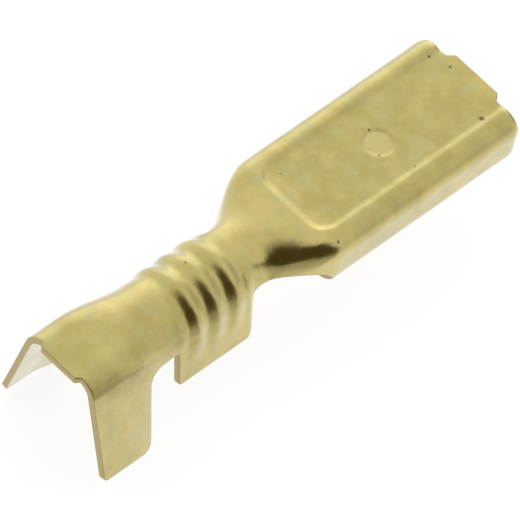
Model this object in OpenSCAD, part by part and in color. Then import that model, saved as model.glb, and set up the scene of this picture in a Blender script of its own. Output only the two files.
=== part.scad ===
// Female spade terminal for a narrow flat tab, stamped and rolled from brass strip.
// +X points out of the mouth, +Z is the plain back of the floor, the crimp wings hang down.
// The origin is the middle of the tab slot, in the plane of the mouth.

/* [Strip] */
// Thickness of the brass strip
sheet = 0.2; // [0.16:0.02:0.26]

/* [Tab slot] */
// Thickness of the tab the slot takes
tab_thickness = 0.8; // [0.6:0.1:0.9]

/* [Receptacle] */
// Length of the rolled receptacle, mouth to the end of the rolls
box_length = 6.7; // [5.6:0.1:8]
// Width over both rolls
box_width = 3.8; // [3.6:0.1:4.4]
// Height from the back of the floor to the underside of the rolls
box_height = 1.78; // [1.7:0.02:2]
// Outside radius where the floor turns down into the sides
corner_radius = 0.52; // [0.4:0.02:0.6]
// Outside radius at the foot of each side
roll_radius = 0.6; // [0.46:0.02:0.66]
// Gap between the two rolled lips
lip_gap = 0.4; // [0.2:0.1:0.8]

/* [Floor] */
// Width of the sunken panel over its sloping borders
panel_width = 2.66; // [2.5:0.02:2.7]
// How far the closed end of the panel runs on behind the rolls
panel_run_on = 0.32; // [-0.8:0.02:0.4]
// Depth of the sunken panel
panel_depth = 0.05; // [0.02:0.01:0.1]
// Width of the sloping border along each side of the panel
panel_border = 0.2; // [0.12:0.02:0.26]
// Length of the ramp at the closed end of the panel
panel_ramp = 0.46; // [0.2:0.02:0.6]
// Radius of the panel corners, measured across the terminal
panel_corner = 0.42; // [0.34:0.02:0.6]
// Distance from the mouth to the middle of the locking dimple
dimple_x = 3.5; // [1.5:0.1:4.5]
// Diameter of the locking dimple
dimple_diameter = 0.96; // [0.6:0.04:1.2]
// Diameter of the flat bottom of the dimple
dimple_flat = 0.68; // [0.3:0.02:0.8]
// Depth of the locking dimple
dimple_depth = 0.05; // [0.02:0.01:0.12]

/* [Mouth tongue] */
// Width of the tongue at its root
tongue_width = 1.92; // [1.76:0.02:2]
// How far the tongue stands out of the mouth
tongue_length = 0.2; // [0.1:0.01:0.3]
// Lead of each slanted side of the tongue
tongue_slant = 0.18; // [0.05:0.01:0.3]
// How far the tip of the tongue flares upward
tongue_flare = 0.05; // [0:0.01:0.1]

/* [Neck] */
// Distance from the end of the rolls to the wire barrel wings
neck_length = 2.28; // [1.8:0.02:3.2]
// Half width of the flat strip at the waist
waist = 1.46; // [1.1:0.02:1.6]

/* [Wire barrel] */
// Length of the wire barrel wings
wire_length = 2.78; // [2.5:0.02:3.4]
// Outside radius of the wire barrel
wire_radius = 1.18; // [1:0.02:1.3]
// Height of the wire barrel over its wings
wire_height = 2.42; // [2.3:0.02:3.2]
// Outward lean of the wire wings
wire_splay = 11; // [0:1:15]
// Number of grip ridges
ridge_count = 3; // [1:1:3]
// Spacing of the grip ridges
ridge_pitch = 0.71; // [0.6:0.01:0.8]
// Height of the grip ridges
ridge_height = 0.06; // [0.03:0.01:0.1]

/* [Insulation barrel] */
// Gap between the wire wings and the insulation wings
wing_gap = 1.12; // [0.9:0.02:1.6]
// Length of the insulation barrel wings
grip_length = 2.24; // [1.9:0.02:2.8]
// Half width of the flat back of the insulation barrel
grip_flat = 0.76; // [0.5:0.02:0.9]
// Outside radius of the insulation barrel corners
grip_radius = 0.52; // [0.4:0.02:0.7]
// Height of the insulation barrel over its wings
grip_height = 3.58; // [3:0.02:4]
// Outward lean of the insulation wings
grip_splay = 13; // [0:1:16]
// Forward slant of the open end, per unit of wing depth
end_slant = 0.12; // [0:0.01:0.2]
// How far the cut-off stub of the carrier strip stands out
stub = 0.14; // [0.04:0.01:0.2]

/* [Hidden] */
brass = [0.77, 0.70, 0.42];
half_sheet = sheet / 2;

// Inside the receptacle; the tab lies against the underside of the sunken panel
floor_mid_z = (tab_thickness + sheet) / 2 + panel_depth;
side_mid_y = (box_width - sheet) / 2;
corner_mid = corner_radius - half_sheet;
roll_mid = roll_radius - half_sheet;
side_length = box_height - sheet - corner_mid - roll_mid;
box_flat = side_mid_y - corner_mid;
roll_mid_z = floor_mid_z - (box_height - sheet);

// The lips turn up until their edges bear on the underside of the tab
lip_turn = 80;
lip_rise = -tab_thickness / 2 - roll_mid_z - half_sheet * cos(lip_turn);
lip_mid = lip_rise / (1 - cos(lip_turn));
lip_flat = side_mid_y - roll_mid - lip_mid * sin(lip_turn) - (lip_gap + sheet) / 2;

// Turn of the roll that is left where the sides run out into the neck
cut_turn = 25;

// Flat half width of the strip where the rolls end
cut_half = box_flat + arc_length(corner_mid, 90) + side_length + arc_length(roll_mid, cut_turn);

// Wire barrel, seen across the terminal
wire_mid = wire_radius - half_sheet;
wire_turn = 90 - wire_splay;
wire_arc = arc_length(wire_mid, wire_turn);
wire_wing = (wire_height - half_sheet - wire_mid * (1 - cos(wire_turn))) / sin(wire_turn);
wire_half = wire_arc + wire_wing;

// Insulation barrel, seen across the terminal
grip_mid = grip_radius - half_sheet;
grip_turn = 90 - grip_splay;
grip_arc = arc_length(grip_mid, grip_turn);
grip_wing = (grip_height - half_sheet - grip_mid * (1 - cos(grip_turn))) / sin(grip_turn);
grip_half = grip_flat + grip_arc + grip_wing;

// Flat half width of the strip in the gap between the two pairs of wings
gap_ledge = 0.26;
gap_half = max(wire_arc, grip_flat + grip_arc) + gap_ledge;

// Distance from the front edge of the wire wings to the middle of the first ridge
ridge_lead = 0.64;

// Places along the terminal, all behind the mouth
neck_start = -box_length;
panel_end = neck_start - panel_run_on;
wire_front = neck_start - neck_length;
wire_back = wire_front - wire_length;
grip_front = wire_back - wing_gap;
grip_back = grip_front - grip_length;
ridge_front = wire_front - ridge_lead;

// The ridges run full height over the back and die away down the wings
ridge_shoulder = 0.8 * wire_arc;
ridge_foot = 1.25 * wire_arc;

// Level stretch that the neck keeps at each end
neck_shoulder = 0.1;
neck_tail = 0.46;

// Share of the insulation barrel that still widens toward the open end
taper_share = 0.56;

// Stretches over which one section flows into the next
box_to_wire = [neck_start - neck_shoulder, wire_front + neck_tail];
wire_to_grip = [wire_back, blend(grip_front, grip_back, taper_share)];

// Outside corners of the wings in the stamped outline
wire_front_round = 0.28;
wire_back_round = 0.12;
grip_front_round = 0.36;
grip_back_round = 0.16;

// Inside corners where the wings meet the neck and the gap
neck_fillet = 0.34;
wire_fillet = 0.12;
grip_fillet = 0.44 * wing_gap;

// Share of the neck over which the outline falls to the waist
waist_share = 0.95;

// Run of a wing edge along the terminal, so that no two stations coincide
edge_run = 0.03;

// Least straight wing that a section keeps
least_wing = 0.12;

// Grid steps of the formed strip
ROUND_STEPS = 4;
RIDGE_STEPS = 8;
NECK_STEPS = 11;
CORNER_STEPS = 5;
SIDE_STEPS = 2;
CUT_STEPS = 2;
ROLL_STEPS = 6;
LIP_STEPS = 8;
THIRDS = [1 / 3, 2 / 3];

function arc_length(radius, turn) = radius * turn * PI / 180;
function clamp(v) = min(1, max(0, v));
function blend(a, b, t) = a + (b - a) * t;
function ease(from, to, v) = let (t = clamp((v - from) / (to - from))) t * t * (3 - 2 * t);
function steps(n) = [for (k = [1 : n]) k / n];

// ---- cross-sections -------------------------------------------------------------
// A section is a list of runs [length, turn at its end, fractions along it]; it starts
// level at the centre line and each run is straight or a plain arc.

// Distances in from the sides of the panel: round corner, side of the tongue, slope, edge
tongue_inset = (panel_width - tongue_width) / 2;
side_marks = [1.5 * tongue_inset, tongue_inset, panel_border, 0];

// At the closed end the corners are drawn out lengthwise by as much as the ramp is longer
ramp_stretch = panel_ramp / panel_border;
corner_run = panel_corner * ramp_stretch;
end_marks = [corner_run, (corner_run + panel_ramp) / 2, panel_ramp, panel_ramp / 2];

// Distances out from the middle of the dimple: flat bottom, slope, rim
dimple_marks = [dimple_flat, (dimple_flat + dimple_diameter) / 2, dimple_diameter] / 2;

// Marks across the floor that carry the dimple, the tongue and the panel border
floor_marks = concat(
    dimple_marks,
    [for (b = side_marks) panel_width / 2 - b],
    [box_flat]
) / box_flat;

// Number of marks on each side of the centre line
TONGUE_MARKS = 5;
STUB_MARKS = 6;
FLOOR = len(floor_marks);
BACK_HALF = FLOOR + CORNER_STEPS + SIDE_STEPS + CUT_STEPS;
BOX_HALF = BACK_HALF + ROLL_STEPS + 1 + LIP_STEPS;

box_section = [
    [box_flat, 0, floor_marks],
    [arc_length(corner_mid, 90), 90, steps(CORNER_STEPS)],
    [side_length, 90, steps(SIDE_STEPS)],
    [arc_length(roll_mid, cut_turn), 90 + cut_turn, steps(CUT_STEPS)]
];

roll_section = [
    [arc_length(roll_mid, 90 - cut_turn), 180, steps(ROLL_STEPS)],
    [lip_flat, 180, [1]],
    [arc_length(lip_mid, lip_turn), 180 + lip_turn, steps(LIP_STEPS)]
];

function barrel_section(back, back_turn, arc, turn, wing) = [
    [back, back_turn, floor_marks],
    [arc, turn, steps(CORNER_STEPS)],
    [wing / 2, turn, steps(SIDE_STEPS)],
    [wing / 2, turn, steps(CUT_STEPS)]
];

wire_section = barrel_section(wire_arc / 2, wire_turn / 2, wire_arc / 2, wire_turn, wire_wing);
grip_section = barrel_section(grip_flat, 0, grip_arc, grip_turn, grip_wing);

// The same runs part way from one section to another
function between(a, b, t) = [
    for (k = [0 : len(a) - 1]) [blend(a[k][0], b[k][0], t), blend(a[k][1], b[k][1], t), a[k][2]]
];

// A section cut down to a strip of this half width; on a narrow strip the bend stops early
function trimmed(runs, half) =
    let (
        bent = min(runs[1][0], half - runs[0][0] - least_wing),
        share = bent / runs[1][0],
        turn = blend(runs[0][1], runs[1][1], share),
        wing = (half - runs[0][0] - bent) / (runs[2][0] + runs[3][0]),
        end_turn = turn + (runs[3][1] - runs[2][1]) * share * min(1, wing)
    )
    [
        runs[0],
        [bent, turn, runs[1][2]],
        [runs[2][0] * wing, turn, runs[2][2]],
        [runs[3][0] * wing, end_turn, runs[3][2]]
    ];

// Part of a run, up to fraction f, from heading a to heading b
function run_to(p, length, a, b, f) = let (l = length * f, c = blend(a, b, f))
    abs(c - a) < 0.001
        ? p + l * [cos(a), -sin(a)]
        : p + l / ((c - a) * PI / 180) * [sin(c) - sin(a), cos(c) - cos(a)];

// Samples [y, z, heading, distance along the strip] of a section
function trace(runs, i = 0, p = [0, floor_mid_z], a = 0, s = 0) =
    i == len(runs)
        ? []
        : let (r = runs[i])
            concat(
                [for (f = r[2]) [each run_to(p, r[0], a, r[1], f), blend(a, r[1], f), s + r[0] * f]],
                trace(runs, i + 1, run_to(p, r[0], a, r[1], 1), r[1], s + r[0])
            );

// ---- relief pressed into the strip ------------------------------------------------

// Distance outside the rounded border of the panel, negative within
function panel_edge(x, s) =
    let (u = panel_corner - (x - panel_end) / ramp_stretch, v = s - panel_width / 2 + panel_corner)
    (u > 0 && v > 0 ? norm([u, v]) : max(u, v)) - panel_corner;

function panel(x, s) = -panel_depth * ease(0, -panel_border, panel_edge(x, s));

function dimple(x, s) =
    -dimple_depth * ease(dimple_diameter / 2, dimple_flat / 2, norm([x + dimple_x, s]));

function ridge(x) = let (u = clamp(abs(x) / ridge_pitch * 2)) (1 + cos(180 * u)) / 2;

function ridges(x, s) =
    ridge_height * ease(ridge_foot, ridge_shoulder, s)
    * max([for (k = [0 : ridge_count - 1]) ridge(x - ridge_front + k * ridge_pitch)]);

function flare(x) = tongue_flare * clamp(x / tongue_length);

function relief(x, s) =
    x > wire_front ? panel(x, s) + dimple(x, s) + flare(x)
    : x < wire_front && x > wire_back ? ridges(x, s)
    : 0;

// ---- stamped outline: stations [x, flat half width] from the mouth to the open end -

// Inside corner where the outline turns from level h to an edge at x
function inside_corner(x, h, r, way) = [
    for (k = [0 : ROUND_STEPS]) let (a = 90 * k / ROUND_STEPS)
        [x + way * r * (1 - sin(a)), h + r * (1 - cos(a))]
];

// Outside corner where an edge at x turns to level h
function outside_corner(x, h, r, way) = [
    for (k = [0 : ROUND_STEPS]) let (a = 90 * k / ROUND_STEPS)
        [x - way * (r * (1 - cos(a)) + edge_run), h - r * (1 - sin(a))]
];

function reversed(list) = [for (k = [len(list) - 1 : -1 : 0]) list[k]];

neck_outline = [
    for (f = steps(NECK_STEPS)) let (x = blend(neck_start, wire_front + neck_fillet, f))
        [x, blend(cut_half, waist, sin(90 * min(1, f / waist_share)))]
];

ridge_from = wire_front - wire_front_round - edge_run;
ridge_to = wire_back + wire_back_round + edge_run;
ridge_rows = round((ridge_from - ridge_to) / ridge_pitch * RIDGE_STEPS);

wire_outline = concat(
    [for (p = inside_corner(wire_front, waist, neck_fillet, 1)) if (p[1] > waist) p],
    outside_corner(wire_front, wire_half, wire_front_round, 1),
    [for (k = [1 : ridge_rows - 1]) [blend(ridge_from, ridge_to, k / ridge_rows), wire_half]],
    reversed(outside_corner(wire_back, wire_half, wire_back_round, -1))
);

grip_outline = concat(
    reversed(inside_corner(wire_back, gap_half, wire_fillet, -1)),
    inside_corner(grip_front, gap_half, grip_fillet, 1),
    outside_corner(grip_front, grip_half, grip_front_round, 1),
    [[(grip_front + grip_back) / 2, grip_half]],
    reversed(outside_corner(grip_back, grip_half, grip_back_round, -1))
);

// Section of the strip at station x, half its flat width wide
function section(x, half) =
    x > box_to_wire[1]
        ? trimmed(between(box_section, wire_section, ease(box_to_wire[0], box_to_wire[1], x)), half)
        : trimmed(between(wire_section, grip_section, ease(wire_to_grip[0], wire_to_grip[1], x)), half);

// ---- grid of the formed strip -----------------------------------------------------

// Wing edges slant a little toward the mouth as they go down
function slant(x, s) =
    let (depth = max(0, s - grip_flat - grip_arc))
    depth * end_slant * ease(grip_front + grip_fillet, grip_back, x);

// One row of the grid: both faces of the strip, right edge to left edge
function row(samples, x, shift = 0) =
    let (half_row = concat([[0, floor_mid_z, 0, 0]], samples), n = len(samples))
    [
        for (side = [half_sheet, -half_sheet])
            for (j = [-n : n])
                let (q = half_row[abs(j)], off = side + relief(x, q[3]))
                [
                    x + slant(x, q[3]) - (abs(j) <= STUB_MARKS ? shift : 0),
                    sign(j) * (q[0] + off * sin(q[2])),
                    q[1] + off * cos(q[2])
                ]
    ];

// Tongue rows, mouth to tip; the sides slant in toward the tip
tongue_rows = [
    for (f = steps(2)) let (x = tongue_length * f, w = 1 - tongue_slant * f / (tongue_width / 2))
        row(
            [
                for (m = [0 : TONGUE_MARKS - 1])
                    [floor_marks[m] * box_flat * w, floor_mid_z, 0, floor_marks[m] * box_flat * w]
            ],
            x
        )
];

// Floor stations of the box: mouth, dimple, closed end of the panel, end of the rolls
box_stations = concat(
    [0],
    [for (f = THIRDS) blend(0, dimple_marks[2] - dimple_x, f)],
    [for (m = reversed(dimple_marks)) m - dimple_x],
    [-dimple_x],
    [for (m = dimple_marks) -m - dimple_x],
    [for (f = THIRDS) blend(-dimple_marks[2] - dimple_x, panel_end + corner_run, f)],
    [for (b = end_marks) if (panel_end + b > edge_run - box_length) panel_end + b],
    [-box_length]
);
box_last = len(box_stations) - 1;
box_samples = trace(concat(box_section, roll_section));
box_floor = [for (k = [0 : FLOOR - 1]) box_samples[k]];

// Only the two ends of the box carry the rolls, which run straight between them
box_rows = [
    for (k = [0 : box_last])
        row(k == 0 || k == box_last ? box_samples : box_floor, box_stations[k])
];

outline = concat(neck_outline, wire_outline, grip_outline);
last = len(outline) - 1;
back_rows = [
    for (k = [0 : last]) let (x = outline[k][0], half = outline[k][1])
        row(trace(section(x, half)), x, k == last ? stub : 0)
];

function row_size(n) = 4 * n + 2;
function flat(lists) = [for (l = lists) each l];

box_start = len(tongue_rows) * row_size(TONGUE_MARKS);
box_floor_start = box_start + row_size(BOX_HALF);
box_end_start = box_floor_start + (box_last - 1) * row_size(FLOOR);
back_start = box_end_start + row_size(BOX_HALF);
points = concat(flat(tongue_rows), flat(box_rows), flat(back_rows));

// A row is addressed by its first point and its half count
function tongue_row(k) = [k * row_size(TONGUE_MARKS), TONGUE_MARKS];
function box_row(k) =
    k == 0 ? [box_start, BOX_HALF]
    : k == box_last ? [box_end_start, BOX_HALF]
    : [box_floor_start + (k - 1) * row_size(FLOOR), FLOOR];
function back_row(k) = [back_start + k * row_size(BACK_HALF), BACK_HALF];
function outer(r, j) = r[0] + r[1] + j;
function inner(r, j) = outer(r, j) + 2 * r[1] + 1;

// Two triangles of a four-cornered patch, split alike on both sides of the centre line
function patch(j, a, b, c, d) = j < 0 ? [[b, c, d], [b, d, a]] : [[a, b, c], [a, c, d]];
function turned(faces) = [for (f = faces) [f[2], f[1], f[0]]];

// Both faces of the strip between a row and the row behind it, from mark to mark
function faces_between(a, b, from, to) = [
    for (j = [from : to - 1])
        each concat(
            patch(j, outer(b, j), outer(b, j + 1), outer(a, j + 1), outer(a, j)),
            patch(j, inner(a, j), inner(a, j + 1), inner(b, j + 1), inner(b, j))
        )
];

// Sheared edge of the strip on both sides between a row and the row behind it
function edges_between(a, b, n) = concat(
    patch(0, outer(a, n), outer(b, n), inner(b, n), inner(a, n)),
    patch(0, inner(a, -n), inner(b, -n), outer(b, -n), outer(a, -n))
);

function stretch(a, b, n) = concat(faces_between(a, b, -n, n), edges_between(a, b, n));

// Sheared end of a row between marks from and to, facing the mouth
function end_face(r, from, to) = [
    for (j = [from : to - 1])
        each patch(j, outer(r, j), outer(r, j + 1), inner(r, j + 1), inner(r, j))
];

function both_sides(r, from, to) = concat(end_face(r, -to, -from), end_face(r, from, to));

// Long facet between the floor stations and the first line of each corner
function side_fan(chain, front, back) = concat(
    [for (k = [0 : len(chain) - 2]) [front, chain[k], chain[k + 1]]],
    [[front, chain[len(chain) - 1], back]]
);

function side_facets(a, b) = let (n = FLOOR, all = [0 : box_last])
    concat(
        side_fan([for (k = all) outer(box_row(k), n)], outer(a, n + 1), outer(b, n + 1)),
        turned(side_fan([for (k = all) inner(box_row(k), n)], inner(a, n + 1), inner(b, n + 1))),
        turned(side_fan([for (k = all) outer(box_row(k), -n)], outer(a, -n - 1), outer(b, -n - 1))),
        side_fan([for (k = all) inner(box_row(k), -n)], inner(a, -n - 1), inner(b, -n - 1))
    );

mouth = box_row(0);
roll_end = box_row(box_last);
open_end = back_row(last);
faces = concat(
    end_face(tongue_row(1), -TONGUE_MARKS, TONGUE_MARKS),
    stretch(tongue_row(1), tongue_row(0), TONGUE_MARKS),
    stretch(tongue_row(0), mouth, TONGUE_MARKS),
    both_sides(mouth, TONGUE_MARKS, BOX_HALF),
    [for (k = [1 : box_last]) each faces_between(box_row(k - 1), box_row(k), -FLOOR, FLOOR)],
    side_facets(mouth, roll_end),
    faces_between(mouth, roll_end, -BOX_HALF, -FLOOR - 1),
    faces_between(mouth, roll_end, FLOOR + 1, BOX_HALF),
    edges_between(mouth, roll_end, BOX_HALF),
    turned(both_sides(roll_end, BACK_HALF, BOX_HALF)),
    stretch(roll_end, back_row(0), BACK_HALF),
    [for (k = [1 : last]) each stretch(back_row(k - 1), back_row(k), BACK_HALF)],
    turned(end_face(open_end, -BACK_HALF, BACK_HALF))
);

module terminal() {
    color(brass)
        polyhedron(points, faces, convexity = 8);
}

terminal();
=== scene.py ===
import functools
import math

import bpy
from mathutils import Matrix, Vector, noise
from mathutils.geometry import delaunay_2d_cdt


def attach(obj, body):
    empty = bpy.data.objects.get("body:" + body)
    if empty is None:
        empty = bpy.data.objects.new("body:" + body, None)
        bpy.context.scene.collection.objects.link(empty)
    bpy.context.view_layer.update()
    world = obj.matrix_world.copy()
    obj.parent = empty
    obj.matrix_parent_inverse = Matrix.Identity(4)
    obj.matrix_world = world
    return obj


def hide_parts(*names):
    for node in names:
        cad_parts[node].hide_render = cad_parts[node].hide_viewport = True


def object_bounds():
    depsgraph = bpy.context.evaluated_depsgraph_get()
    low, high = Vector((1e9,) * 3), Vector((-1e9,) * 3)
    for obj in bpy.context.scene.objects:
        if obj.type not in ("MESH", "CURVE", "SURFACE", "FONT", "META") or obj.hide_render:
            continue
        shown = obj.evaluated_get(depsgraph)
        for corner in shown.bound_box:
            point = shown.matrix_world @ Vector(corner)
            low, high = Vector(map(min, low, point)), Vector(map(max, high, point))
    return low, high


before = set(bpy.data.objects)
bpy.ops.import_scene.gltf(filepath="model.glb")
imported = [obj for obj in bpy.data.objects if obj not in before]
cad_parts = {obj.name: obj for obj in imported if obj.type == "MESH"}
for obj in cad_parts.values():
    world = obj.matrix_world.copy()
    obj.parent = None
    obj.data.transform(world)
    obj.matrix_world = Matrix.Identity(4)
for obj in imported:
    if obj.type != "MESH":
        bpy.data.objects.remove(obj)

cad_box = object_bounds()

# ---- Folded section ---------------------------------------------------------------
# The whole terminal is one piece of half-hard brass strip, folded across its width in a
# progressive tool: two rolls at the receptacle, a U at the wire and a wider U at the grip.
# All sizes are millimetres; x runs along the terminal and s across the flat strip.
MM = 0.001
SHEET = 0.2
TAB_THICKNESS = 0.8
PANEL_DEPTH = 0.05
QUARTER = math.pi / 2

BOX_LENGTH = 6.7
BOX_WIDTH = 3.8
BOX_HEIGHT = 1.78
CORNER_RADIUS = 0.52
ROLL_RADIUS = 0.6
LIP_GAP = 0.4
LIP_TURN = math.radians(80)
CUT_TURN = math.radians(25)

NECK_LENGTH = 2.28
NECK_SHOULDER = 0.1
NECK_TAIL = 0.46
NECK_FILLET = 0.34
WAIST = 1.46
WAIST_SHARE = 0.95

WIRE_LENGTH = 2.78
WIRE_RADIUS = 1.18
WIRE_HEIGHT = 2.42
WIRE_TURN = math.radians(79)

WING_GAP = 1.12
GRIP_LENGTH = 2.24
GRIP_FLAT = 0.66
GRIP_RADIUS = 0.62
GRIP_HEIGHT = 3.577
GRIP_TURN = math.radians(77)
TAPER_SHARE = 0.56
END_SLANT = 0.12
FILLET_SHARE = 0.44
LEAST_WING = 0.12

corner_mid = CORNER_RADIUS - SHEET / 2
roll_mid = ROLL_RADIUS - SHEET / 2
wire_mid = WIRE_RADIUS - SHEET / 2
grip_mid = GRIP_RADIUS - SHEET / 2
floor_mid = (TAB_THICKNESS + SHEET) / 2 + PANEL_DEPTH
side_mid = (BOX_WIDTH - SHEET) / 2
box_flat = side_mid - corner_mid
corner_arc = corner_mid * QUARTER
side_length = BOX_HEIGHT - SHEET - corner_mid - roll_mid
cut_arc = roll_mid * CUT_TURN
cut_half = box_flat + corner_arc + side_length + cut_arc
roll_mid_z = floor_mid - (BOX_HEIGHT - SHEET)
lip_rise = -TAB_THICKNESS / 2 - roll_mid_z - SHEET / 2 * math.cos(LIP_TURN)
lip_mid = lip_rise / (1 - math.cos(LIP_TURN))
lip_flat = side_mid - roll_mid - lip_mid * math.sin(LIP_TURN) - (LIP_GAP + SHEET) / 2
wire_arc = wire_mid * WIRE_TURN
grip_arc = grip_mid * GRIP_TURN

neck_start = -BOX_LENGTH
wire_front = neck_start - NECK_LENGTH
wire_back = wire_front - WIRE_LENGTH
grip_front = wire_back - WING_GAP
grip_back = grip_front - GRIP_LENGTH
grip_fillet = FILLET_SHARE * WING_GAP


def mix(a, b, t):
    return a + (b - a) * t


def ease(start, end, value):
    """0 at start and 1 at end, with a soft beginning and end."""
    t = min(1, max(0, (value - start) / (end - start)))
    return t * t * (3 - 2 * t)


def wing_length(height, middle_radius, turn):
    """Straight part of a wing that ends at this height below the back."""
    return (height - SHEET / 2 - middle_radius * (1 - math.cos(turn))) / math.sin(turn)


def barrel_runs(back, back_turn, arc, turn, wing):
    """Half section of a crimp barrel as (length, heading at its end): back, bend and wing."""
    return [(back, back_turn), (arc, turn), (wing / 2, turn), (wing / 2, turn)]


box_runs = [
    (box_flat, 0),
    (corner_arc, QUARTER),
    (side_length, QUARTER),
    (cut_arc, QUARTER + CUT_TURN),
]
roll_runs = [
    (roll_mid * (QUARTER - CUT_TURN), math.pi),
    (lip_flat, math.pi),
    (lip_mid * LIP_TURN, math.pi + LIP_TURN),
]
wire_wing = wing_length(WIRE_HEIGHT, wire_mid, WIRE_TURN)
grip_wing = wing_length(GRIP_HEIGHT, grip_mid, GRIP_TURN)
wire_runs = barrel_runs(wire_arc / 2, WIRE_TURN / 2, wire_arc / 2, WIRE_TURN, wire_wing)
grip_runs = barrel_runs(GRIP_FLAT, 0, grip_arc, GRIP_TURN, grip_wing)
lip_half = sum(length for length, _ in box_runs + roll_runs)
wire_half = wire_arc + wire_wing
grip_half = GRIP_FLAT + grip_arc + grip_wing


def neck_half(x):
    """Half width of the strip along the neck, from the end of the rolls to the wire wings."""
    f = (neck_start - x) / (neck_start - wire_front - NECK_FILLET)
    if f <= 1:
        return mix(cut_half, WAIST, math.sin(QUARTER * min(1, max(0, f) / WAIST_SHARE)))
    u = min(1, (wire_front + NECK_FILLET - x) / NECK_FILLET)
    return WAIST + NECK_FILLET * (1 - math.sqrt(1 - u * u))


def between(a, b, t):
    return [(mix(p[0], q[0], t), mix(p[1], q[1], t)) for p, q in zip(a, b)]


def trimmed(runs, half):
    """Runs cut down to a narrower strip; its bend stops early to keep a straight edge."""
    (back, back_turn), (arc, arc_turn), (near, near_turn), (far, far_turn) = runs
    bent = min(arc, half - back - LEAST_WING)
    share = bent / arc
    turn = mix(back_turn, arc_turn, share)
    wing = (half - back - bent) / (near + far)
    end_turn = turn + (far_turn - near_turn) * share * min(1, wing)
    return [(back, back_turn), (bent, turn), (near * wing, turn), (far * wing, end_turn)]


def runs_at(x):
    """Runs of the half section at x, out from the centre line."""
    if x >= neck_start:
        return box_runs + roll_runs
    if x > wire_front:
        narrowing = ease(neck_start - NECK_SHOULDER, wire_front + NECK_TAIL, x)
        return trimmed(between(box_runs, wire_runs, narrowing), neck_half(x))
    widening = ease(wire_back, mix(grip_front, grip_back, TAPER_SHARE), x)
    return between(wire_runs, grip_runs, widening)


def along(y, z, heading, length, turn, run):
    """Place reached after run millimetres of a straight or evenly curved stretch."""
    if abs(turn) < 1e-6 or length < 1e-9:
        return y + run * math.cos(heading), z - run * math.sin(heading)
    radius = length / turn
    now = heading + turn * run / length
    return (
        y + radius * (math.sin(now) - math.sin(heading)),
        z + radius * (math.cos(now) - math.cos(heading)),
    )


@functools.lru_cache(maxsize=None)
def chain(x):
    """Runs of the section at x with the place where each starts: s, y, z, heading, length, turn."""
    links = []
    s, y, z, heading = 0.0, 0.0, floor_mid, 0.0
    for length, end in runs_at(x):
        links.append((s, y, z, heading, length, end - heading))
        y, z = along(y, z, heading, length, end - heading, length)
        s += length
        heading = end
    return links


def fold(x, s):
    """Middle of the strip at (x, s) and the heading there, for s of either sign."""
    far = abs(s)
    link = max((one for one in chain(x) if one[0] <= far), key=lambda one: one[0])
    start, y, z, heading, length, turn = link
    run = min(far - start, length)
    y, z = along(y, z, heading, length, turn, run)
    heading += turn * run / max(length, 1e-9)
    beyond = far - start - run
    return y + beyond * math.cos(heading), z - beyond * math.sin(heading), heading


# ---- Relief -----------------------------------------------------------------------
# Before it is folded the strip is coined: a sunken panel with a flat locking dimple, three
# grip ridges and a slightly flared tongue. Folding creases the neck behind the rolls and
# before the wire wings, turns in the rim of the mouth and leaves the strip a little uneven.
PANEL_WIDTH = 2.66
PANEL_RUN_ON = 0.24
PANEL_BORDER = 0.2
PANEL_RAMP = 0.26
PANEL_CORNER = 0.52
PANEL_SWELL = 0.012
SWELL_WIDTH = 0.3

DIMPLE_X = 3.5
DIMPLE_RADIUS = 0.5
DIMPLE_FLAT = 0.36
DIMPLE_DEPTH = 0.035

# The shoulder and the foot of a ridge are shares of the wire bend, and the two ends of the
# hollow between the ridges are counted in pitches from the middle ridge.
RIDGE_COUNT = 3
RIDGE_PITCH = 0.71
RIDGE_LEAD = 0.64
RIDGE_HEIGHT = 0.055
RIDGE_SHOULDER = 1.15
RIDGE_FOOT = 1.75
HOLLOW_DEPTH = 0.014
HOLLOW_START = 1.95
HOLLOW_FULL = 1.45

# At the rolls a crease deepens over the share CREASE_CORNER of the corner, and before the
# wire wings from CREASE_HIGH to CREASE_LOW of the wire bend. Along x, the lengths ahead of
# and behind the end of the rolls or the front of the wings say where each starts and ends.
CREASE_DEPTH = 0.05
CREASE_AHEAD = 0.06
CREASE_BEHIND = 0.34
CREASE_CORNER = 0.7
CREASE_HIGH = 0.45
CREASE_LOW = 0.8
WAIST_DEPTH = 0.06
WAIST_BEHIND = 1.2
WAIST_AHEAD = 0.15
ROUNDER_BEHIND = 0.8
ROUNDER_AHEAD = 0.1
FADE_BEHIND = 0.22
FADE_AHEAD = 0.13

TONGUE_LENGTH = 0.2
TONGUE_HALF = 0.96
TONGUE_FLARE = 0.015
MOUTH_DROP = 0.035
MOUTH_RUN = 0.16
MOUTH_SIDE = 0.3
WOBBLE = 0.004
WOBBLE_SIZE = 1.2

panel_end = neck_start - PANEL_RUN_ON
ramp_stretch = PANEL_RAMP / PANEL_BORDER
corner_run = PANEL_CORNER * ramp_stretch
ridge_front = wire_front - RIDGE_LEAD
ridge_shoulder = RIDGE_SHOULDER * wire_arc
ridge_foot = RIDGE_FOOT * wire_arc


def panel(x, s):
    """Sunken panel with round corners, a slope all round and a slight swell outside it."""
    u = PANEL_CORNER - (x - panel_end) / ramp_stretch
    v = abs(s) - PANEL_WIDTH / 2 + PANEL_CORNER
    edge = (math.hypot(u, v) if u > 0 and v > 0 else max(u, v)) - PANEL_CORNER
    swell = ease(-PANEL_BORDER / 2, 0, edge) * ease(SWELL_WIDTH, 0, edge)
    return PANEL_SWELL * swell - PANEL_DEPTH * ease(0, -PANEL_BORDER, edge)


def dimple(x, s):
    return -DIMPLE_DEPTH * ease(DIMPLE_RADIUS, DIMPLE_FLAT, math.hypot(x + DIMPLE_X, s))


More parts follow.
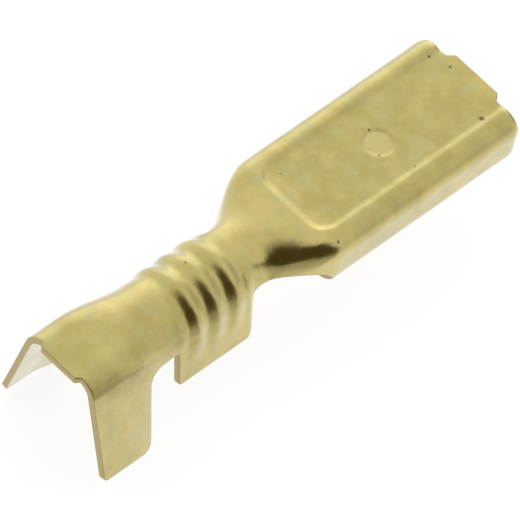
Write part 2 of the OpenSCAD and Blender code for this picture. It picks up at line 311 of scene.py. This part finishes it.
def ridges(x, s):
    """Ridges across the wire barrel, with the strip a little hollow between them."""
    rise = 0
    for k in range(RIDGE_COUNT):
        u = min(1, abs(x - ridge_front + k * RIDGE_PITCH) / RIDGE_PITCH * 2)
        rise = max(rise, (1 + math.cos(math.pi * u)) / 2)
    from_middle = abs(x - ridge_front + RIDGE_PITCH) / RIDGE_PITCH
    hollow = HOLLOW_DEPTH * ease(HOLLOW_START, HOLLOW_FULL, from_middle)
    return ((RIDGE_HEIGHT + hollow) * rise - hollow) * ease(ridge_foot, ridge_shoulder, abs(s))


def crease(x, s):
    """The sides turn in sharply behind the rolls and again before the wire wings."""
    depth = CREASE_DEPTH * ease(neck_start + CREASE_AHEAD, neck_start - CREASE_BEHIND, x)
    depth += WAIST_DEPTH * ease(neck_start - WAIST_BEHIND, wire_front + WAIST_AHEAD, x)
    rounder = ease(neck_start - ROUNDER_BEHIND, wire_front + ROUNDER_AHEAD, x)
    high = mix(box_flat, wire_arc * CREASE_HIGH, rounder)
    low = mix(box_flat + corner_arc * CREASE_CORNER, wire_arc * CREASE_LOW, rounder)
    fade = ease(wire_front - FADE_BEHIND, wire_front + FADE_AHEAD, x)
    return -depth * ease(high, low, abs(s)) * fade


def mouth_rim(x, s):
    """The edge of the mouth is turned in a little for the tab to enter."""
    outside = ease(TONGUE_HALF, TONGUE_HALF + MOUTH_SIDE, abs(s))
    return -MOUTH_DROP * ease(-MOUTH_RUN, 0, x) * outside


def relief(x, s):
    """Height that the tool presses the strip out or in, along its normal."""
    height = WOBBLE * noise.noise(Vector((x, s, 0)) / WOBBLE_SIZE)
    height += panel(x, s) + dimple(x, s) + crease(x, s) + mouth_rim(x, s)
    height += TONGUE_FLARE * min(1, max(0, x / TONGUE_LENGTH))
    if wire_back < x < wire_front:
        height += ridges(x, s)
    return height


def formed(x, s, offset):
    """Point of the finished terminal for (x, s) on the flat strip, offset from its middle."""
    y, z, heading = fold(x, s)
    rise = offset + relief(x, s)
    depth = max(0, abs(s) - GRIP_FLAT - grip_arc)
    slant = depth * END_SLANT * ease(grip_front + grip_fillet, grip_back, x)
    side = math.copysign(1, s)
    return (
        (x + slant) * MM,
        side * (y + rise * math.sin(heading)) * MM,
        (z + rise * math.cos(heading)) * MM,
    )


# ---- Blank ------------------------------------------------------------------------
# The outline is stamped out of the strip, so it has small corner radii and a sheared edge.
# It is followed on one side, from the tongue to the stub of the carrier strip, and mirrored.
TONGUE_SLANT = 0.18
TONGUE_ROUND = 0.05
MOUTH_ROUND = 0.06
WIRE_FRONT_ROUND = 0.28
WIRE_BACK_ROUND = 0.12
GRIP_FRONT_ROUND = 0.36
GRIP_BACK_ROUND = 0.16
WIRE_FILLET = 0.12
GAP_LEDGE = 0.26
EDGE_RUN = 0.03
STUB = 0.14
STUB_HALF = 0.62
STUB_LEAD = 0.11
STUB_ROUND = 0.03
OUTLINE_STEP = 0.07
LEAST_ARC_STEPS = 4
NECK_POINTS = 40
gap_half = max(wire_arc, GRIP_FLAT + grip_arc) + GAP_LEDGE


def rounded(corners):
    """Polyline through corners (x, s, radius), each rounded with its own radius."""
    line = []
    for k, (x, s, radius) in enumerate(corners):
        here = Vector((x, s))
        if radius == 0 or k in (0, len(corners) - 1):
            line.append(here)
            continue
        back = (Vector(corners[k - 1][:2]) - here).normalized()
        ahead = (Vector(corners[k + 1][:2]) - here).normalized()
        half_angle = math.acos(max(-1, min(1, back.dot(ahead)))) / 2
        reach = radius / math.tan(half_angle)
        centre = here + (back + ahead).normalized() * radius / math.sin(half_angle)
        a, b = here + back * reach - centre, here + ahead * reach - centre
        turn = a.angle_signed(b)
        per_radian = max(radius / OUTLINE_STEP, LEAST_ARC_STEPS)
        steps = max(2, math.ceil(abs(turn) * per_radian))
        for i in range(steps + 1):
            line.append(centre + Matrix.Rotation(-turn * i / steps, 2) @ a)
    return line


def spaced(line):
    """The same polyline with no side longer than the outline step."""
    points = [line[0]]
    for a, b in zip(line, line[1:]):
        gap = (b - a).length
        if gap < 1e-6:
            continue
        count = math.ceil(gap / OUTLINE_STEP)
        points += [a.lerp(b, i / count) for i in range(1, count + 1)]
    return points


neck_end = wire_front + NECK_FILLET
neck_x = [mix(neck_start, neck_end, k / NECK_POINTS) for k in range(1, NECK_POINTS)]
wing_end = grip_back + EDGE_RUN
corners = [
    (TONGUE_LENGTH, 0, 0),
    (TONGUE_LENGTH, TONGUE_HALF - TONGUE_SLANT, 2 * TONGUE_ROUND),
    (0, TONGUE_HALF, TONGUE_ROUND),
    (0, lip_half, MOUTH_ROUND),
    (neck_start, lip_half, MOUTH_ROUND),
    (neck_start, cut_half, TONGUE_ROUND),
    *[(x, neck_half(x), 0) for x in neck_x],
    (wire_front, WAIST, NECK_FILLET),
    (wire_front - EDGE_RUN, wire_half, WIRE_FRONT_ROUND),
    (wire_back + EDGE_RUN, wire_half, WIRE_BACK_ROUND),
    (wire_back, gap_half, WIRE_FILLET),
    (grip_front, gap_half, grip_fillet),
    (grip_front - EDGE_RUN, grip_half, GRIP_FRONT_ROUND),
    (wing_end, grip_half, GRIP_BACK_ROUND),
    (wing_end, STUB_HALF + STUB_LEAD, STUB_ROUND),
    (wing_end - STUB, STUB_HALF, STUB_ROUND),
    (wing_end - STUB, 0, 0),
]
one_side = spaced(rounded(corners))
other_side = [Vector((p.x, -p.y)) for p in reversed(one_side[1:-1])]
outline = one_side + other_side

# ---- Mesh of the strip --------------------------------------------------------------
# The flat blank is meshed once inside its outline and formed twice, as its two faces. The
# sheared edge joins them: a soft rollover on the outer face, a wall and a sharp inner corner.
FACE_STEP = 0.07
ROLL_STEP = FACE_STEP * 0.8
BOX_STEP = FACE_STEP * 1.2
FINE_STEP = 0.034
RIDGE_STEP = FINE_STEP * 1.2
BORDER_STEP = FINE_STEP * 1.5
ROLLOVER = 0.035
BURR = 0.015
RIM_STEPS = 4
MITRE_LIMIT = 0.5
INSIDE_ONLY = 1
WELD = 1e-6


def inward(loop):
    """Direction into the blank at each outline point, longer at the corners."""
    directions = []
    for k, point in enumerate(loop):
        before = (point - loop[k - 1]).normalized()
        after = (loop[(k + 1) % len(loop)] - point).normalized()
        normal = Vector((-before.y - after.y, before.x + after.x)).normalized()
        mitre = max(MITRE_LIMIT, normal.dot(Vector((-before.y, before.x))))
        directions.append(normal / mitre)
    return directions


area = sum(p.x * q.y - q.x * p.y for p, q in zip(outline, outline[1:] + outline[:1]))
if area < 0:
    outline.reverse()
into = inward(outline)


def lines(*stretches):
    """Grid lines from stretches (from, to, step)."""
    found = []
    for start, end, step in stretches:
        count = max(1, round(abs(end - start) / step))
        found += [mix(start, end, k / count) for k in range(count)]
    return found


border = PANEL_WIDTH / 2
dimple_near = DIMPLE_RADIUS - DIMPLE_X
dimple_far = -DIMPLE_RADIUS - DIMPLE_X
ridges_near = ridge_front + RIDGE_PITCH
ridges_far = ridge_front - RIDGE_COUNT * RIDGE_PITCH
x_lines = lines(
    (TONGUE_LENGTH, 0, RIDGE_STEP),
    (0, dimple_near, BOX_STEP),
    (dimple_near, dimple_far, FINE_STEP),
    (dimple_far, panel_end + corner_run, FACE_STEP),
    (panel_end + corner_run, panel_end, BORDER_STEP),
    (panel_end, ridges_near, FACE_STEP),
    (ridges_near, ridges_far, RIDGE_STEP),
    (ridges_far, wing_end - STUB, FACE_STEP),
)
s_lines = lines(
    (0, DIMPLE_RADIUS, RIDGE_STEP),
    (DIMPLE_RADIUS, border - PANEL_CORNER, FACE_STEP),
    (border - PANEL_CORNER, border - PANEL_BORDER, BORDER_STEP),
    (border - PANEL_BORDER, border, FINE_STEP),
    (border, cut_half, BORDER_STEP),
    (cut_half, lip_half, ROLL_STEP),
)
reach_x = [p.x for p in reversed(one_side)]
reach_s = [p.y for p in reversed(one_side)]


def half_width(x):
    """Half width of the blank at x, read off its outline."""
    if x <= reach_x[0] or x >= reach_x[-1]:
        return 0
    low, high = 0, len(reach_x) - 1
    while high - low > 1:
        middle = (low + high) // 2
        if reach_x[middle] <= x:
            low = middle
        else:
            high = middle
    span = reach_x[high] - reach_x[low]
    if span < 1e-9:
        return min(reach_s[low], reach_s[high])
    return mix(reach_s[low], reach_s[high], (x - reach_x[low]) / span)


margin = ROLLOVER + FINE_STEP
inside = []
for k, x in enumerate(x_lines[1:]):
    half_step = (x_lines[k] - x) / 2
    for i, s in enumerate(s_lines):
        spot = x + (half_step if i % 2 else 0)
        room = min(half_width(spot - margin), half_width(spot), half_width(spot + margin)) - margin
        if s < room:
            inside.append(Vector((spot, s)))
            if s > 0:
                inside.append(Vector((spot, -s)))

rim = len(outline)
inset = [p + d * ROLLOVER for p, d in zip(outline, into)]
rim_edges = [(k, (k + 1) % rim) for k in range(rim)]
meshed = delaunay_2d_cdt(inset + inside, rim_edges, [], INSIDE_ONLY, WELD)
flat, _, faces, origins, _, _ = meshed
place = {source: made for made, sources in enumerate(origins) for source in sources}
flat = [tuple(p) for p in flat]

profile = []
for k in range(1, RIM_STEPS + 1):
    a = QUARTER * k / RIM_STEPS
    profile.append((ROLLOVER * (1 - math.sin(a)), SHEET / 2 - ROLLOVER * (1 - math.cos(a))))
for k in range(RIM_STEPS):
    a = QUARTER * k / RIM_STEPS
    profile.append((BURR * (1 - math.cos(a)), -SHEET / 2 + BURR * (1 - math.sin(a))))
profile.append((BURR, -SHEET / 2))

verts = [formed(x, s, SHEET / 2) for x, s in flat]
verts += [formed(x, s, -SHEET / 2) for x, s in flat]
blank = [(x, s, 0) for x, s in flat] * 2
rings = [[place[k] for k in range(rim)]]
for depth, offset in profile:
    rings.append(list(range(len(verts), len(verts) + rim)))
    for p, d in zip(outline, into):
        verts.append(formed(p.x + d.x * depth, p.y + d.y * depth, offset))
        blank.append((p.x, p.y, offset))
rings.append([place[k] + len(flat) for k in range(rim)])

polygons = [tuple(face) for face in faces]
polygons += [tuple(index + len(flat) for index in reversed(face)) for face in faces]
face_count = len(polygons)
for above, below in zip(rings, rings[1:]):
    for k in range(rim):
        following = (k + 1) % rim
        polygons.append((above[k], below[k], below[following], above[following]))

mesh = bpy.data.meshes.new("terminal_strip")
mesh.from_pydata(verts, [], polygons)
mesh.shade_smooth()
# Where each point lay on the flat strip, for the patterns of the materials.
position = mesh.attributes.new("blank", "FLOAT_VECTOR", "POINT")
position.data.foreach_set("vector", [value for place_on in blank for value in place_on])
strip = bpy.data.objects.new("terminal_strip", mesh)
bpy.context.scene.collection.objects.link(strip)
# The rollover and the wall have the sheared finish.
dull_count = rim * (RIM_STEPS + 1)
for index in range(face_count, face_count + dull_count):
    mesh.polygons[index].material_index = 1

# ---- Rolled brass -------------------------------------------------------------------
# Common brass strip, cold rolled to a satin finish, with a film of stamping oil. It gives
# the eye a greenish gold that goes brown where it mirrors the dark openings of the tent,
# with faint clouds, fine lines along the strip and small dark pits.


def tone(code):
    """Linear colour of an sRGB hex value."""
    parts = [int(code[k : k + 2], 16) / 255 for k in (0, 2, 4)]
    return tuple(c / 12.92 if c <= 0.04045 else ((c + 0.055) / 1.055) ** 2.4 for c in parts) + (1,)


def node(tree, kind, settings=None, inputs=None):
    """Adds a shader node with its settings, and sets or links its inputs."""
    made = tree.nodes.new("ShaderNode" + kind)
    for name, value in (settings or {}).items():
        setattr(made, name, value)
    for name, value in (inputs or {}).items():
        if isinstance(value, bpy.types.NodeSocket):
            tree.links.new(value, made.inputs[name])
        else:
            made.inputs[name].default_value = value
    return made


def calc(tree, operation, first, second=0.0, clamp=False):
    """Sum, product or other operation on one or two values."""
    settings = {"operation": operation, "use_clamp": clamp}
    return node(tree, "Math", settings, {0: first, 1: second}).outputs[0]


def remap(tree, value, source, target, interpolation="LINEAR"):
    """Value moved from the span source to the span target, and held at both ends."""
    ends = {
        "Value": value,
        "From Min": source[0],
        "From Max": source[1],
        "To Min": target[0],
        "To Max": target[1],
    }
    settings = {"interpolation_type": interpolation}
    return node(tree, "MapRange", settings, ends).outputs["Result"]


def distance(tree, place, point):
    settings = {"operation": "DISTANCE"}
    return node(tree, "VectorMath", settings, {0: place, 1: point}).outputs["Value"]


def blend(tree, share, start, end):
    """Colour between start and end."""
    return node(tree, "Mix", {"data_type": "RGBA"}, {0: share, 6: start, 7: end}).outputs[2]


def new_material(name):
    made = bpy.data.materials.new(name)
    made.use_nodes = True
    made.node_tree.nodes.clear()
    return made, made.node_tree


rolled, tree = new_material("rolled_brass_satin")
flat_place = node(tree, "Attribute", {"attribute_name": "blank"}).outputs["Vector"]
axes = node(tree, "SeparateXYZ", {}, {0: flat_place})

# The film of oil varies along the strip: distance from the open end, and how clean it is.
STAINS = [
    (0, 0.05),
    (1.2, 0.15),
    (2.6, 0.5),
    (4.6, 0.4),
    (6.8, 0.8),
    (8.4, 0.95),
    (9.2, 0.15),
    (14.9, 0.2),
    (15.3, 0.7),
]
stub_end = wing_end - STUB
strip_length = TONGUE_LENGTH - wing_end + STUB
along_strip = remap(tree, axes.outputs["X"], (stub_end, TONGUE_LENGTH), (0.0, 1.0))
film = node(tree, "ValToRGB", {}, {"Fac": along_strip})
ramp = film.color_ramp
while len(ramp.elements) < len(STAINS):
    ramp.elements.new(0.5)
for element, (from_end, cleanness) in zip(ramp.elements, STAINS):
    element.position = from_end / strip_length
    element.color = (cleanness, cleanness, cleanness, 1)

# It is cloudy, and lighter and glossier out across the strip, on the sides and the wings.
CLOUD_SIZE = 0.8
CLOUD_SPAN = (0.32, 0.68)
CLOUD_EFFECT = 0.6
SIDES_START = 1.3
SIDES_FULL = 1.9
SIDES_EFFECT = 0.5
clouds = node(
    tree,
    "TexNoise",
    {},
    {"Vector": flat_place, "Scale": 1 / CLOUD_SIZE, "Detail": 5.0, "Roughness": 0.6},
).outputs["Fac"]
patchy = remap(tree, clouds, CLOUD_SPAN, (-CLOUD_EFFECT, CLOUD_EFFECT))
outward = calc(tree, "ABSOLUTE", axes.outputs["Y"])
lighter_sides = remap(tree, outward, (SIDES_START, SIDES_FULL), (0.0, SIDES_EFFECT))
clouds_and_sides = calc(tree, "ADD", patchy, lighter_sides)
clean = calc(tree, "ADD", film.outputs["Color"], clouds_and_sides, clamp=True)
brass = blend(tree, clean, tone("B4A559"), tone("C9B86C"))

# A thin grey-green haze lies over it in smaller patches.
HAZE_SIZE = 0.45
HAZE_SPAN = (0.46, 0.66)
HAZE_SHARE = 0.75
HAZE_SLICE = 3.0
haze = node(
    tree,
    "TexNoise",
    {"noise_dimensions": "4D"},
    {"Vector": flat_place, "W": HAZE_SLICE, "Scale": 1 / HAZE_SIZE, "Detail": 3.0},
).outputs["Fac"]
haze_share = remap(tree, haze, HAZE_SPAN, (0.0, HAZE_SHARE))
metal = blend(tree, haze_share, brass, tone("BAB271"))

# The punch has burnished the flat of the dimple.
BURNISH_FLAT = 0.3
BURNISH_END = 0.45
BURNISH_SHARE = 0.6
from_dimple = distance(tree, flat_place, (-DIMPLE_X, 0, 0))
burnish_span = (BURNISH_FLAT, BURNISH_END)
burnish = remap(tree, from_dimple, burnish_span, (BURNISH_SHARE, 0.0), "SMOOTHSTEP")
metal = blend(tree, burnish, metal, tone("CDBF7E"))

# Pits and specks of dried oil, as x, s and radius. Each is dark in its core and fades out
# just past its radius.
PITS = [
    (-0.75, -1.13, 0.08),
    (-0.21, 0.6, 0.045),
    (-0.42, 1.19, 0.045),
    (-3.29, -1.16, 0.03),
    (-3.78, -0.32, 0.045),
    (-3.4, 0.45, 0.04),
    (-6.62, -1.62, 0.04),
    (-6.3, 0.85, 0.03),
    (-10.35, 0.25, 0.035),
]
PIT_CORE = 0.4
PIT_EDGE = 1.3
PIT_SHARE = 0.85
pit_share = 0.0
for x, s, radius in PITS:
    away = distance(tree, flat_place, (x, s, 0))
    pit_span = (radius * PIT_CORE, radius * PIT_EDGE)
    pit = remap(tree, away, pit_span, (PIT_SHARE, 0.0), "SMOOTHSTEP")
    pit_share = calc(tree, "MAXIMUM", pit_share, pit)
metal = blend(tree, pit_share, metal, tone("3A3010"))

# Lines from the rolls of the mill run along the strip, over a fine grit. The real lines are
# only a few hundredths of a millimetre wide and are drawn a little coarser.
LINE_LENGTH = 2.0
LINE_WIDTH = 0.06
LINE_DEPTH = 0.02
GRIT_SIZE = 0.25
GRIT_DEPTH = 0.04
ROUGH_STAINED = 0.26
ROUGH_CLEAN = 0.19
line_scale = (1 / LINE_LENGTH, 1 / LINE_WIDTH, 1.0)
stretched = node(tree, "Mapping", {}, {"Vector": flat_place, "Scale": line_scale})
lines_along = node(
    tree, "TexNoise", {}, {"Vector": stretched.outputs[0], "Scale": 1.0, "Detail": 3.0}
).outputs["Fac"]
grit = node(
    tree,
    "TexNoise",
    {},
    {"Vector": flat_place, "Scale": 1 / GRIT_SIZE, "Detail": 4.0, "Roughness": 0.6},
).outputs["Fac"]
line_bump = node(
    tree, "Bump", {}, {"Height": lines_along, "Strength": 0.12, "Distance": LINE_DEPTH * MM}
).outputs[0]
bump = node(
    tree,
    "Bump",
    {},
    {"Height": grit, "Strength": 0.2, "Distance": GRIT_DEPTH * MM, "Normal": line_bump},
).outputs[0]
skin = node(
    tree,
    "BsdfPrincipled",
    {},
    {
        "Base Color": metal,
        "Metallic": 1.0,
        "Roughness": remap(tree, clean, (0.0, 1.0), (ROUGH_STAINED, ROUGH_CLEAN)),
        "Coat Weight": 1.0,
        "Coat Roughness": 0.2,
        "Normal": bump,
    },
)
node(tree, "OutputMaterial", {}, {"Surface": skin.outputs[0]})
mesh.materials.append(rolled)

# ---- Sheared brass ------------------------------------------------------------------
# The cut edge of the strip, on its rollover and on the wall, torn rather than rolled. It is
# paler and duller than the faces, with fine marks that are drawn coarser than the real ones.
TEAR_SIZE = 0.05
TEAR_DEPTH = 0.03
sheared, tree = new_material("sheared_brass_dull")
wall_place = node(tree, "Attribute", {"attribute_name": "blank"}).outputs["Vector"]
tearing = node(
    tree, "TexNoise", {}, {"Vector": wall_place, "Scale": 1 / TEAR_SIZE, "Detail": 3.0}
).outputs["Fac"]
wall_bump = node(
    tree, "Bump", {}, {"Height": tearing, "Strength": 0.4, "Distance": TEAR_DEPTH * MM}
).outputs[0]
wall = node(
    tree,
    "BsdfPrincipled",
    {},
    {
        "Base Color": tone("B9AA7C"),
        "Metallic": 1.0,
        "Roughness": 0.5,
        "Normal": wall_bump,
    },
)
node(tree, "OutputMaterial", {}, {"Surface": wall.outputs[0]})
mesh.materials.append(sheared)

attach(strip, "root")
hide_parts("terminal")

# ---- Floor --------------------------------------------------------------------------
# A matt white board, lit through from below as on a light table. It gives the eye plain
# white with a faint soft shadow. For reflections its glow is dimmer on the near side, most so
# in one lane: this is painted shade, with nothing there to cast it.
FLOOR_RADIUS = 90
FLOOR_SIDES = 96
BOARD_FILL = 0.87
BOARD_FAR = 0.6
FAR_START = -2
FAR_FULL = -30
LANE_SHADE = 0.42
LANE_SLOPE = 0.15
LANE_SPAN = (0.3, 0.7)
LANE_START = -0.5
LANE_FULL = -6
floor_z = cad_box[0].z
LANE_FOOT = Vector((-9.5, -1.5, floor_z / MM))
board_mesh = bpy.data.meshes.new("white_board")
board_rim = [
    (FLOOR_RADIUS * MM * math.cos(a), FLOOR_RADIUS * MM * math.sin(a), floor_z)
    for a in (math.tau * k / FLOOR_SIDES for k in range(FLOOR_SIDES))
]
board_mesh.from_pydata(board_rim, [], [tuple(range(FLOOR_SIDES))])
board = bpy.data.objects.new("white_board", board_mesh)
bpy.context.scene.collection.objects.link(board)

matt, tree = new_material("matt_white_board")
board_place = node(tree, "NewGeometry").outputs["Position"]
from_foot = node(
    tree, "VectorMath", {"operation": "SUBTRACT"}, {0: board_place, 1: LANE_FOOT * MM}
).outputs[0]
foot_axes = node(tree, "SeparateXYZ", {}, {0: from_foot})
sideways = foot_axes.outputs["X"]
forward = foot_axes.outputs["Y"]
# Painted shade in the glow that only reflections see: dimmer on the near side and in one lane.
far_span = (FAR_FULL * MM, FAR_START * MM)
falloff = remap(tree, forward, far_span, (BOARD_FAR, BOARD_FILL), "SMOOTHSTEP")
off_lane = calc(tree, "SUBTRACT", calc(tree, "DIVIDE", sideways, forward), LANE_SLOPE)
lane = remap(tree, calc(tree, "ABSOLUTE", off_lane), LANE_SPAN, (LANE_SHADE, 0.0), "SMOOTHSTEP")
started = remap(tree, forward, (LANE_FULL * MM, LANE_START * MM), (1.0, 0.0), "SMOOTHSTEP")
shaded = calc(tree, "MULTIPLY", lane, started)
mirrored = calc(tree, "SUBTRACT", falloff, shaded, clamp=True)
board_ray = node(tree, "LightPath")
seen = calc(tree, "MULTIPLY", board_ray.outputs["Is Camera Ray"], BOARD_FILL)
reflected = calc(tree, "MULTIPLY", board_ray.outputs["Is Glossy Ray"], mirrored)
fill = calc(tree, "ADD", reflected, seen)
paint = node(tree, "BsdfDiffuse", {}, {"Color": tone("8C8C8C")})
glow = node(tree, "Emission", {}, {"Color": tone("FFFFFF"), "Strength": fill})
both = node(tree, "AddShader", {}, {0: paint.outputs[0], 1: glow.outputs[0]})
node(tree, "OutputMaterial", {}, {"Surface": both.outputs[0]})
board_mesh.materials.append(matt)

# ---- Light tent -----------------------------------------------------------------------
# White cloth all round, brighter on one side, with two dark openings on the lens side, a
# dim seam beyond the mouth and one bright lobe. Its darkest parts are a little warm. The
# camera sees it plain white.
TENT_LEVEL = 0.953
TENT_SIDE = Vector((0.084, 0.116, -0.05))
TENT_DARKEST = 0.08
TENT_WHITE = 0.5
PATCHES = [
    {"azimuth": -129, "elevation": 45, "inner": 22, "outer": 56, "level": -0.85},
    {"azimuth": -90, "elevation": 14, "inner": 18, "outer": 34, "level": -0.65},
    {"azimuth": -9, "elevation": 8, "inner": 4, "outer": 41, "level": -0.45},
    {"azimuth": 42, "elevation": 14, "inner": 5, "outer": 40, "level": 0.45},
]
world = bpy.data.worlds.new("light_tent")
bpy.context.scene.world = world
world.use_nodes = True
tree = world.node_tree
tree.nodes.clear()
direction = node(tree, "TexCoord").outputs["Generated"]
level = node(tree, "VectorMath", {"operation": "DOT_PRODUCT"}, {0: direction, 1: TENT_SIDE})
bright = calc(tree, "ADD", level.outputs["Value"], TENT_LEVEL)
for patch in PATCHES:
    turn = math.radians(patch["azimuth"])
    lift = math.radians(patch["elevation"])
    spread = math.cos(lift)
    middle = Vector((spread * math.cos(turn), spread * math.sin(turn), math.sin(lift)))
    facing = node(tree, "VectorMath", {"operation": "DOT_PRODUCT"}, {0: direction, 1: middle})
    limited = node(tree, "Clamp", {}, {"Value": facing.outputs["Value"], "Min": -1.0, "Max": 1.0})
    angle = calc(tree, "ARCCOSINE", limited.outputs[0])
    patch_span = (math.radians(patch["inner"]), math.radians(patch["outer"]))
    shade = remap(tree, angle, patch_span, (patch["level"], 0.0), "SMOOTHSTEP")
    bright = calc(tree, "ADD", bright, shade)
bright = calc(tree, "MAXIMUM", bright, TENT_DARKEST)
lit = remap(tree, bright, (TENT_DARKEST, TENT_WHITE), (0.0, 1.0))
cloth_colour = blend(tree, lit, tone("FFE8AA"), tone("FFFFFF"))
cloth = node(tree, "Background", {}, {"Color": cloth_colour, "Strength": bright})
plain = node(tree, "Background", {}, {"Color": tone("FFFFFF"), "Strength": 1.0})
tent_ray = node(tree, "LightPath")
choice = node(
    tree,
    "MixShader",
    {},
    {0: tent_ray.outputs["Is Camera Ray"], 1: cloth.outputs[0], 2: plain.outputs[0]},
)
node(tree, "OutputWorld", {}, {"Surface": choice.outputs[0]})

# ---- Camera -----------------------------------------------------------------------------
# A long lens from the open end and above, a little rolled. Its near and far limits are in
# metres.
AIM = Vector((-8.414, -0.641, 0.166)) * MM
DISTANCE = 319.87 * MM
FOCAL_LENGTH = 853.5
SENSOR_WIDTH = 36
NEAR_LIMIT = 0.01
FAR_LIMIT = 2
AZIMUTH = math.radians(-56.251)
ELEVATION = math.radians(52.015)
ROLL = math.radians(14.907)
level_reach = math.cos(ELEVATION)
back = Vector(
    (math.sin(AZIMUTH) * level_reach, -math.cos(AZIMUTH) * level_reach, math.sin(ELEVATION))
)
level_right = Vector((math.cos(AZIMUTH), math.sin(AZIMUTH), 0))
right = level_right * math.cos(ROLL) + back.cross(level_right) * math.sin(ROLL)
up = back.cross(right)
lens = bpy.data.cameras.new("camera")
lens.lens = FOCAL_LENGTH
lens.sensor_width = SENSOR_WIDTH
lens.clip_start = NEAR_LIMIT
lens.clip_end = FAR_LIMIT
camera = bpy.data.objects.new("camera", lens)
bpy.context.scene.collection.objects.link(camera)
turned = Matrix((right, up, back)).transposed().to_4x4()
camera.matrix_world = Matrix.Translation(AIM + back * DISTANCE) @ turned
bpy.context.scene.camera = camera
bpy.context.scene.view_settings.view_transform = "Standard"
